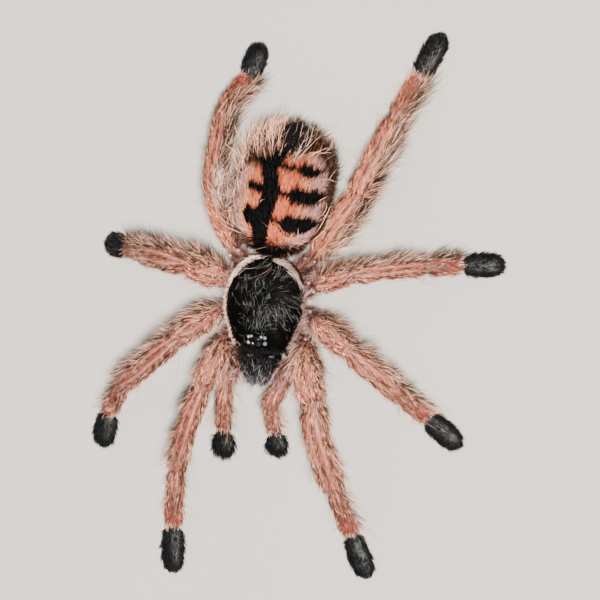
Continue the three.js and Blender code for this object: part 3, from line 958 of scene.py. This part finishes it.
kneeFluff = dict(
    paleHair, seed=33, count=420, rings=5, length=(0.45, 1.15), width=0.06, stray=0.4, curl=0.45,
    colour=(0.9, 0.66, 0.54), root=0.7, tip=1.25, vary=0.6,
)
hipHair = dict(
    paleHair, seed=28, count=2900, length=(0.5, 1.55), width=0.046, lift=36, stray=0.25, curl=0.3,
    colour=(0.21, 0.098, 0.088), root=0.06, tip=1.9, vary=1.95,
)
# the feet's hair is black with grey tips; its bluish tone is partly a painted sheen
footCoat = dict(
    slot="foot_pad", unwrap=limbUnwrap, seed=31, count=13000, rings=2, length=(0.34, 0.62), width=0.048,
    lift=30, liftVaries=9, stray=0.17, follow=0.18, droop=0.05, curl=0.05, gather=(0.05, 0.35),
    colour=(0.0017, 0.0019, 0.0023), roughness=0.4, gloss=0.08, root=0.1, tip=10.0, vary=1.95,
)
ankleHair = dict(
    paleHair, seed=35, count=1000, rings=3, length=(0.35, 0.8), width=0.042, lift=24, liftVaries=8,
    gather=(0.1, 0.3), colour=(0.9, 0.56, 0.44), root=0.5,
)


def flaredFeet(roots, grow, dice):  # wider at the sides and on the palps, short at the toe
    flank = 1 - np.abs(roots["normals"][:, 2])
    isPalp = roots["limb"] >= len(legNames)
    toe = smoothStep(roots["mark"][:, 0], -2.6, -3.6)
    grow["length"] *= (0.8 + 0.35 * flank) * (1 + 0.3 * isPalp) * (1 - 0.35 * toe)
    grow["tint"] *= 0.4 + 0.6 * flank  # painted sheen: lighter on the sides, darkest on top


def addHipsAndFeet():
    # the right rear leg has pale fluff towards the abdomen, below its knee
    beside = smoothStep(skin["points"][:, 1], 7.2, 8) * smoothStep(skin["points"][:, 1], 11.2, 10.4)
    fluff = ofLimbs(["leg_4_right"]) * beside * smoothStep(skin["normals"][:, 0], 0.3, 0.8)
    growCoat("kneeFluff", skin, fluff, kneeFluff)
    femurStart = ofKind("femur") * smoothStep(nearHip, 0.15, 0.6)
    weight = (ofKind("coxa") + femurStart * (0.5 + 0.5 * level)) * (facingUp > -0.6)
    growCoat("hipHairs", skin, weight, hipHair)
    growCoat("footCoat", skin, onLimb * (toAnkle < 0.04) * 1.0, footCoat, flaredFeet)
    # a pale fringe lies over the start of each foot
    fringe = onLimb * smoothStep(toAnkle, 0.55, 0.35) * smoothStep(toAnkle, 0, 0.1) * (facingUp > -0.4)
    growCoat("ankleHairs", skin, fringe, ankleHair)


addHipsAndFeet()

claw = {
    "length": 0.5,
    "width": 0.11,
    "sides": 8,
    "rings": 8,
    "back": 0.25,  # its root from the tip of the foot: rearwards, sideways and up
    "aside": 0.12,
    "height": 0.14,
    "spread": 0.3,  # how far it points sideways and up, and how it curves down
    "rise": 0.35,
    "bend": -0.5,
}
knuckle = {"aside": 0.38, "height": 0.7, "radii": (0.18, 0.18, 0.16)}


def limbWays(start, end):  # level directions along a piece of a limb and across it
    ahead = unit((end - start) * (1, 1, 0))
    return ahead, np.cross(ahead, zenith)


def addClaws():
    starts, directions = [], []
    for limb in limbNames:
        ahead, aside = limbWays(*joints[limb][-2:])
        for side in (-1, 1):
            offset = -claw["back"] * ahead + claw["aside"] * side * aside + claw["height"] * zenith
            starts.append(joints[limb][-1] + offset)
            directions.append(ahead + side * claw["spread"] * aside + claw["rise"] * zenith)
    count = len(starts)
    grow = {
        "direction": unit(np.array(directions)),
        "bend": np.tile(claw["bend"] * zenith, (count, 1)),
        "length": np.full(count, claw["length"]),
        "width": np.full(count, claw["width"]),
    }
    upwards = np.tile(zenith, (count, 1))
    points = spikePoints(np.array(starts), grow, claw["rings"], upwards, claw["sides"], 0)[0]
    faces = repeated(spike(claw["rings"], claw["sides"])[0], points)
    material = shellMaterial("clawShell", (0.02, 0.01, 0.008), 0.25, 0.5, 0.00001)
    addPiece("claws", points.reshape(-1, 3), faces, material, "fang")


def addKnuckles():  # small glossy knobs of bare shell on top of each hip
    knobs = []
    for limb in legNames:
        hip, knee = joints[limb][1:3]
        ahead, aside = limbWays(hip, knee)
        for side, along in ((-1, -0.15), (1, 0.1)):
            top = hip + knuckle["aside"] * side * aside + along * ahead + knuckle["height"] * zenith
            knobs.append(ball(top, knuckle["radii"], None, 8, 12))
    material = shellMaterial("knuckle", (0.3, 0.15, 0.14), 0.2, 1.0, 0.00001, 1.0)
    addPiece("hipKnuckles", *joined(knobs), material, "limb_coat")


addClaws()
addKnuckles()

velvet = dict(
    plainHair, slot="abdomen_coat", unwrap=abdomenUnwrap, seed=41, count=38000, rings=1,
    length=(0.34, 0.7), width=0.058, lift=17, liftVaries=6, stray=0.14,
    colour="abdomen", roughness=0.6, gloss=0.03, root=0.5, tip=1.25, vary=1.1,
)
longPale = dict(
    plainHair, slot="abdomen_coat", unwrap=abdomenUnwrap, seed=42, count=900, rings=7,
    length=(0.9, 2.5), width=0.055, lift=30, liftVaries=16, stray=0.42, follow=0.1, droop=0.2, curl=0.4,
    gather=(0.12, 0.35), colour=(0.95, 0.52, 0.35), roughness=0.42, root=0.06, tip=1.5, vary=1.8,
)
fanHair = dict(
    longPale, seed=46, count=26, rings=9, length=(1.3, 2.9), width=0.06, stray=0.3, curl=0.32,
    gather=(0.3, 0.25), colour=(0.9, 0.6, 0.45), root=0.5, tip=1.2,
)
# partly painted shade: dark hair over the waist stands in for the shade between abdomen and carapace
waistHair = dict(
    longPale, unwrap=planUnwrap, seed=47, count=1800, rings=3, length=(0.5, 1.2), lift=50, stray=0.35,
    curl=0.2, colour=(0.01, 0.005, 0.004), gloss=0.1,
)
rimHair = dict(
    longPale, seed=43, count=2200, rings=3, length=(0.7, 1.35), droop=0.1, colour=(0.03, 0.014, 0.008)
)
tipTuft = dict(
    longPale, seed=44, count=1500, rings=4, length=(0.8, 1.7), lift=22, curl=0.1,
    colour=(0.0025, 0.0026, 0.003), gloss=0.12, tip=2.4,
)


def frontForwards(roots, grow, dice):  # hair at the very front leans over the waist; the spinnerets' is short
    ofFront = smoothStep(roots["spot"][:, 1], 1.1, 0.2)[:, None]
    grow["direction"] = unit(grow["direction"] + ofFront * (1.6 * roots["normals"] - 0.6 * roots["lie"]))
    isSpinneret = roots["kind"] == kindNames.index("spinneret")
    grow["length"] *= np.where(isSpinneret, 0.5, 1) * (1 + 0.15 * ofFront[:, 0])


def fannedOut(roots, grow, dice):  # long hairs at the rear spread away from a point near the last bar
    spread = roots["spot"][:, :1] * abdomenSide + (roots["spot"][:, 1:2] - 5.6) * abdomenRear
    share = smoothStep(roots["spot"][:, 1], 6.2, 7.2)[:, None]
    leaning = alongSurface(spread, roots["normals"]) - 0.5 * roots["lie"]
    grow["direction"] = unit(grow["direction"] + 1.1 * share * leaning)


def addAbdomenCoat():
    across, along, up = skin["spot"].T
    onBody = ofKind("abdomen")
    arc = np.arctan2(across, arcFlatness * up) * arcRadius
    outwards, fromTuft = np.abs(arc), arc - abdomenMarks["tuftMiddle"]
    onRight = smoothStep(arc, 0.2, -0.9)  # most of the long hairs are on the animal's right
    rearward = smoothStep(along + 0.6 * onRight, 7.2, 8.4) * smoothStep(outwards, 6.5, 4.8)
    rearward = rearward * (0.3 + 0.7 * smoothStep(outwards, 4.8, 3.4))
    rearward = rearward * (1 - 0.75 * bell(fromTuft, 0.8)) * (0.22 + onRight)
    flank = smoothStep(outwards, 2.7, 3.6) * smoothStep(outwards, 6.8, 5.2)
    flank = flank * (0.05 + onRight * smoothStep(along, 2.4, 4))
    facing = smoothStep(skin["normals"] @ abdomenRear, 0.1, -0.5)
    waist = ofKind("core") * smoothStep(skin["points"] @ prosomaRear, 1.5, 3)
    waist = waist + onBody * smoothStep(along, 1.3, 0.5) * facing
    rim = smoothStep(outwards, 3.8, 5) * smoothStep(outwards, 8.5, 6) * smoothStep(along, 2, 6)
    tip = smoothStep(along, 7.9, 8.7) * smoothStep(np.abs(fromTuft), 1.8, 0.9)
    pieces = (
        ("abdomenVelvet", onBody + 0.8 * ofKind("spinneret"), velvet, frontForwards),
        ("abdomenLongHairs", onBody * (0.012 + rearward + flank), longPale, fannedOut),
        ("waistHairs", waist, waistHair, None),
        ("abdomenFan", onBody * bell(arc - 1.1, 0.9) * bell(along - 7.9, 0.45), fanHair, fannedOut),
        ("abdomenRimHairs", onBody * rim, rimHair, None),
        ("abdomenTipTuft", onBody * tip, tipTuft, None),
    )
    for name, weight, look, arrange in pieces:
        growCoat(name, skin, weight, look, arrange)


addAbdomenCoat()

carapaceLook = {
    "edge": 0.35,
    "dome": 1.85,
    "headShare": 0.81,
    "frontRoundness": 4.5,
    "rearRoundness": 2.4,
    "foveaAt": 0.9,  # behind the middle
    "foveaDepth": 0.3,
    "headGroove": (33, 0.1),  # degrees from straight ahead, and depth
    "sideGrooves": ((70, 0.045), (103, 0.05), (137, 0.045)),
    "grooveWidth": 0.17,
    "sectors": 240,
    "rings": 64,
}


def lathe(rows, sectors, place):
    # a closed shape turned round its middle; rows are (ring, height) pairs from top centre to bottom centre
    here = np.arange(sectors)
    after = np.roll(here, -1)
    angle = here * 2 * math.pi / sectors
    inner = [place(np.full(sectors, ring), angle, height) for ring, height in rows[1:-1]]
    top, bottom = (place(np.zeros(1), np.zeros(1), height) for height in (rows[0][1], rows[-1][1]))
    faces = [(0 * here, 1 + here, 1 + after)]
    for a in range(1, 1 + (len(inner) - 1) * sectors, sectors):
        b = a + sectors
        faces += [(a + here, b + here, b + after), (a + here, b + after, a + after)]
    faces.append((b + here, 0 * here + b + sectors, b + after))
    return np.vstack([top, *inner, bottom]), np.vstack([np.stack(corners, axis=1) for corners in faces])


def carapacePlan(ring, angle):
    look = carapaceLook
    power = 2 / np.where(np.cos(angle) > 0, look["frontRoundness"], look["rearRoundness"])
    forward = np.sign(np.cos(angle)) * np.abs(np.cos(angle)) ** power
    outward = np.sign(np.sin(angle)) * np.abs(np.sin(angle)) ** power
    narrowing = 1 - (1 - look["headShare"]) * smoothStep(forward, 0.1, 0.75)
    halfWidth, halfLength = (carapaceHigh - carapaceLow)[:2] / 2
    return ring * halfWidth * narrowing * outward, -ring * halfLength * forward


def carapaceRise(x, y, ring):  # height above the edge, in millimetres
    look = carapaceLook
    rise = look["dome"] * np.maximum(0, 1 - ring**2.6) ** 0.6 * (1 - 0.2 * smoothStep(y, -1.5, 3.6))
    behind = y - look["foveaAt"]
    rise -= look["foveaDepth"] * bell(x, 0.34) * bell(behind, 0.15) + 0.1 * bell(x, 0.8) * bell(behind, 0.5)
    away = np.hypot(x, behind)
    bearing = np.degrees(np.arctan2(np.abs(x), -behind))
    fade = smoothStep(away, 0.3, 1.0) * smoothStep(ring, 0.98, 0.8)
    for degrees, depth in (look["headGroove"], *look["sideGrooves"]):
        rise -= depth * fade * bell(away * np.radians(bearing - degrees), look["grooveWidth"])
    inFront = away * np.radians(look["headGroove"][0] - bearing)
    head = smoothStep(inFront, -0.1, 0.5) * smoothStep(away, 0.5, 2)
    return rise + 0.1 * head * smoothStep(ring, 1, 0.8)


def carapacePlace(ring, angle, height):
    x, y = carapacePlan(ring, angle)
    z = np.full(len(ring), carapaceLow[2] + height * carapaceLook["edge"])
    if height == 1:
        z += carapaceRise(x, y, ring) + 0.07 * bell(ring - 0.985, 0.012)
    return fromProsoma(np.stack([x, y, z], axis=1))


def buildCarapace():
    sectors = carapaceLook["sectors"]
    steps = np.sin(np.linspace(0, math.pi / 2, carapaceLook["rings"]))
    rows = [(ring, 1) for ring in steps] + [(1.0, 0.5), (0.93, 0), (0.5, 0), (0, 0)]
    points, faces = lathe(rows, sectors, carapacePlace)
    faces = faces[:, [0, 2, 1]] if pointNormals(points, faces)[0, 2] < 0 else faces
    normals = pointNormals(points, faces)
    away = (points - fromProsoma([0, carapaceLook["foveaAt"], 0])) * (1, 1, 0)
    lie = unit(0.4 * away + 0.8 * (away @ prosomaRear)[:, None] * prosomaRear)
    # 2 stands for everything below the edge
    rings = [np.full(sectors, ring if height == 1 else 2) for ring, height in rows[1:-1]]
    return {
        "points": points,
        "triangles": faces,
        "normals": normals,
        "lie": alongSurface(lie, normals),
        "spot": inProsoma(points),
        "ring": np.concatenate([[0], *rings, [2]]),
    }


carapace = buildCarapace()
shell = shellMaterial("carapaceShell", (0.001, 0.0009, 0.0008), 0.5, 0.0, 0.0001, 0.05)
addPiece("carapaceShell", carapace["points"], carapace["triangles"], shell, "carapace_shell", ["carapace"])


def clumps(points, scale, seed):  # smooth random patches from 0 to 1: hair is denser here and thinner there
    dice = np.random.default_rng(seed)
    waves = 14
    total = np.zeros(len(points))
    for wave in range(waves):
        direction = unit(dice.normal(0, 1, 3)) * scale * dice.uniform(0.5, 1.6)
        total += np.sin(points @ direction + dice.uniform(0, 6.28))
    return smoothStep(total / waves**0.5, -1.2, 1.4)


carapaceDown = dict(
    slot="carapace_shell", unwrap=planUnwrap, seed=51, count=4500, rings=2, length=(0.25, 0.6), width=0.045,
    lift=9, liftVaries=5, stray=0.3, follow=0, droop=0.1, curl=0.12,
    colour=(0.0013, 0.0013, 0.0012), roughness=0.5, gloss=0.03, root=0.5, tip=1.8, vary=1.5,
)
silver = dict(
    carapaceDown, seed=52, count=620, rings=7, length=(0.4, 1.15), lift=10, droop=0.16, curl=0.36,
    gather=(0.12, 0.35), gloss=0.4, colour=(0.062, 0.065, 0.06), root=0.1, tip=2.4, vary=1.95,
)
silverPlaces = {
    "between": 0.07,  # how dense they are outside the clusters
    "spread": 0.6,
    # clusters: across, rearwards, how dense, and which way the hairs run (degrees from left to rearwards)
    "clusters": (
        (0.2, 0.7, 0.5, 100),
        (0.2, -1.3, 0.8, 84),
        (0.15, -2.05, 1, 86),
        (1.3, -0.1, 0.8, -48),
        (1.9, -0.9, 0.5, -60),
        (2.6, 0.5, 0.5, -20),
        (-0.9, -0.5, 0.6, 120),
        (-1.3, 0.9, 0.4, 75),
        (1.0, 2.1, 0.45, 30),
    ),
}
browHair = dict(
    silver, seed=56, count=420, rings=4, length=(0.4, 0.85), stray=0.25, curl=0.2,
    colour=(0.003, 0.003, 0.003), gloss=0.12, tip=2.6,
)
strands = dict(
    silver, seed=53, count=14, rings=9, length=(1.6, 2.9), width=0.055, lift=14, stray=0.14, droop=0.2,
    curl=0.32, colour=(0.22, 0.16, 0.14),
)
paleRim = dict(
    carapaceDown, seed=54, count=5000, rings=3, length=(0.35, 0.7), width=0.06, stray=0.06, droop=0.16,
    curl=0.04, colour=(0.92, 0.62, 0.51), root=0.9, tip=1.25, vary=0.35,
)
greyRim = dict(
    paleRim, seed=55, count=1000, rings=6, length=(0.8, 1.7), width=0.055, stray=0.1, curl=0.08,
    gather=(0.04, 0.8), colour=(0.38, 0.25, 0.215), root=0.3, tip=1.3, vary=1.2,
)


def alongRim(roots, grow, dice):  # the fringe lies rearwards along the rim and spills a little over it
    onward = unit(np.cross(roots["lie"], roots["normals"]))
    onward = onward * np.sign(onward @ prosomaRear)[:, None]
    outward = unit(roots["lie"] * (1, 1, 0))
    direction = onward + 0.1 * outward + 0.12 * roots["normals"] - 0.1 * zenith
    grow["direction"] = unit(direction + dice.normal(0, 0.08, direction.shape))
    grow["bend"] -= 0.08 * grow["length"][:, None] * outward  # keeps to the curve of the rim


def runningTogether(roots, grow, dice):  # neighbours run the same way, on either side of each cluster's line
    clusters = np.array(silverPlaces["clusters"])
    gaps = np.linalg.norm(roots["spot"][:, None, :2] - clusters[None, :, :2], axis=2)
    turn = np.radians(clusters[gaps.argmin(axis=1), 3])
    turn = (turn + dice.normal(0, 0.5, len(turn)))[:, None]
    run = np.cos(turn) * prosomaSide + np.sin(turn) * prosomaRear
    grow["direction"] = unit(alongSurface(run, roots["normals"]) + 0.22 * roots["normals"])


def overTheJaws(roots, grow, dice):  # hair along the front margin hangs over the jaws
    forwards = -prosomaRear + 0.35 * roots["normals"] - 0.3 * zenith
    grow["direction"] = unit(forwards + dice.normal(0, browHair["stray"], roots["points"].shape))


def overTheBack(roots, grow, dice):  # the longest strands come forwards from the rear margin
    side = np.sign(roots["spot"][:, :1]) * prosomaSide
    forwards = -prosomaRear + 0.45 * side + dice.normal(0, 0.3, roots["points"].shape)
    grow["direction"] = unit(alongSurface(forwards, roots["normals"]) + 0.3 * roots["normals"])


def addCarapaceCoat():
    ring = carapace["ring"]
    across, behind, up = carapace["spot"].T
    onTop, above = (ring < 0.95) * 1.0, ring <= 1.0
    dense = np.full(len(ring), silverPlaces["between"])
    for x, y, strength, bearing in silverPlaces["clusters"]:
        dense += strength * bell(np.hypot(across - x, behind - y), silverPlaces["spread"])
    brow = (ring > 0.86) * above * smoothStep(behind, -3.3, -3.6)
    rim = (ring > 0.9) * above * smoothStep(behind, -3.75, -2.6)
    narrow = rim * (ring > 0.935) * (0.04 + smoothStep(across, 1.0, 2.1))
    rearMargin = onTop * smoothStep(behind, 2.4, 3.3) * smoothStep(ring, 0.6, 0.85)
    pieces = (
        ("carapaceDown", onTop * (0.4 + clumps(carapace["points"], 2.4, 5)), carapaceDown, None),
        ("carapaceSilver", onTop * dense, silver, runningTogether),
        ("browHairs", brow, browHair, overTheJaws),
        ("carapaceStrands", rearMargin * smoothStep(across, 1.2, 0.4), strands, overTheBack),
        ("carapaceRim_right", rim * smoothStep(across, -0.7, -1.8), paleRim, alongRim),
        ("carapaceRim_left", narrow, greyRim, alongRim),
    )
    for name, weight, look, arrange in pieces:
        growCoat(name, carapace, weight, look, arrange)


addCarapaceCoat()

eyeLook = {
    "moundRadii": (0.85, 0.625, 0.75),
    "mound": (0, -2.9, 4.75),
    "fit": 0.97,  # stays inside the solid
    # across, forwards of the mound's middle, up, radius, and how pearly the lens is
    "lenses": (
        (0.26, -0.34, 0.5, 0.2, 0),
        (0.68, -0.3, 0.26, 0.19, 0.5),
        (0.4, 0.2, 0.56, 0.13, 1),
        (0.66, 0.14, 0.38, 0.16, 0.8),
    ),
    "dark": (0.006, 0.006, 0.007),
    "pearl": (0.22, 0.23, 0.27),
}


def addEyes():
    mound, fit = np.array(eyeLook["mound"]), eyeLook["fit"]
    points, faces = ball(fromProsoma(mound), np.array(eyeLook["moundRadii"]) * fit, prosomaAxes, 28, 44)
    material = shellMaterial("mound", (0.001, 0.001, 0.001), 0.4, 0.05, 0.00006, 0.1)
    addPiece("eyeMound", points, faces, material, "eye", ["eye_mound"])
    lenses, pearl = [], []
    for side in (-1, 1):
        for x, y, z, radius, pearly in eyeLook["lenses"]:
            lenses.append(ball(fromProsoma(mound + (side * x, y, z)), radius * fit, None, 16, 24))
            pearl.append(np.full(len(lenses[-1][0]), pearly))
    material, tree, shader = newMaterial("lens", Roughness=0.05, Coat_Weight=1.0, Coat_Roughness=0.02)
    feed(shader, {"Base Color": mixed(attribute(tree, "pearl"), eyeLook["dark"], eyeLook["pearl"])})
    addPiece("eyeLenses", *joined(lenses), material, "eye", (), {"pearl": np.concatenate(pearl)})


addEyes()


def smoothedNode(name, voxel, rounds, direction=prosomaRear):  # direction is the lie of its coat
    points, quads, edges = remeshed(*nodeMesh(name), voxel)
    points = relaxed(points, edges, rounds)
    normals = pointNormals(points, quads)
    lie = alongSurface(direction, normals)
    return {"points": points, "quads": quads, "normals": normals, "spot": inProsoma(points), "lie": lie}


jawLook = {
    "jaw": (0.075, 6),  # size of a voxel and rounds of smoothing
    "fang": (0.04, 5),
    "depth": 0.05,  # how deep the shell lies under its coat
    "slope": 0.45,  # how steeply the coat runs down
}
jawHair = dict(
    slot="jaw", unwrap=jawUnwrap, seed=61, count=620, rings=4, length=(0.4, 0.95), width=0.06,
    lift=14, liftVaries=8, stray=0.3, follow=0, droop=0.12, curl=0.22,
    colour=(0.0045, 0.0044, 0.0048), roughness=0.38, gloss=0.25, root=0.03, tip=3.0, vary=1.9,
)
# partly painted highlight: grey setae at the front of the jaws, coloured pale and cool like the glints there
jawTangle = dict(
    jawHair, seed=63, count=150, rings=5, length=(0.5, 1.1), width=0.05, lift=26, liftVaries=12,
    stray=0.4, droop=0.2, curl=0.4, colour=(0.2, 0.19, 0.2), root=0.2, tip=1.6, vary=1.6,
)


def addJaws():
    jawShell = shellMaterial("jawShell", (0.001, 0.001, 0.001), 0.3, 0.1, 0.00008, 0.12)
    fangShell = shellMaterial("fangShell", (0.02, 0.006, 0.004), 0.15, 0.8, 0.00001)
    short, tangle = hairMaterial("jawHair", jawHair), hairMaterial("jawTangle", jawTangle)
    for number, side in enumerate(sides):
        jaw = smoothedNode(f"chelicera_{side}", *jawLook["jaw"], -prosomaRear - jawLook["slope"] * zenith)
        jaw["points"] = jaw["points"] - jawLook["depth"] * jaw["normals"]
        addPiece(f"jaw_{side}", jaw["points"], jaw["quads"], jawShell, "jaw", [f"chelicera_{side}"])
        fang = smoothedNode(f"fang_{side}", *jawLook["fang"])
        addPiece(f"fangTooth_{side}", fang["points"], fang["quads"], fangShell, "fang", [f"fang_{side}"])
        behind, up = jaw["spot"][:, 1], jaw["normals"][:, 2]
        weight = (0.5 + smoothStep(behind, -4.2, -6.4)) * (up > -0.5)
        weight = weight * (np.abs(jaw["normals"] @ prosomaSide) < 0.97)
        growCoat(f"jawHairs_{side}", jaw, weight, jawHair, None, short, number)
        weight = smoothStep(behind, -4, -6.2) * (up > -0.75)
        growCoat(f"jawTangle_{side}", jaw, weight, jawTangle, None, tangle, number)


addJaws()

bellyHair = dict(
    plainHair, slot="underside", unwrap=planUnwrap, seed=71, count=2200, rings=2, length=(0.25, 0.6),
    width=0.045, lift=24, liftVaries=8, stray=0.2, follow=0.1, droop=0.05, curl=0.08,
    colour=(0.11, 0.06, 0.045), roughness=0.5, root=0.7, tip=1.3, vary=0.6,
)


def addSternum():
    plate = smoothedNode("sternum", 0.09, 5)
    material = shellMaterial("sternumShell", (0.05, 0.025, 0.02), 0.5, 0.1)
    addPiece("sternumPlate", plate["points"], plate["quads"], material, "underside", ["sternum"])
    growCoat("sternumHairs", plate, (plate["normals"][:, 2] < 0.3) * 1.0, bellyHair)


addSternum()


def addFloor():
    corners = studio["floorSize"] / 2 * np.array([[-1, -1, 0], [1, -1, 0], [1, 1, 0], [-1, 1, 0]])
    material, tree, shader = newMaterial("floor", Roughness=0.8, Specular_IOR_Level=0.25)
    low, high = (tuple(c * share for c in studio["floorColour"]) for share in (0.96, 1.04))
    feed(shader, {"Base Color": mixed(noise(objectPlace(tree), 60, 4), low, high)})
    floor = newObject("floor", newMesh("floor", corners * mm, np.array([[0, 1, 2, 3]])))
    floor.data.materials.append(material)


addFloor()
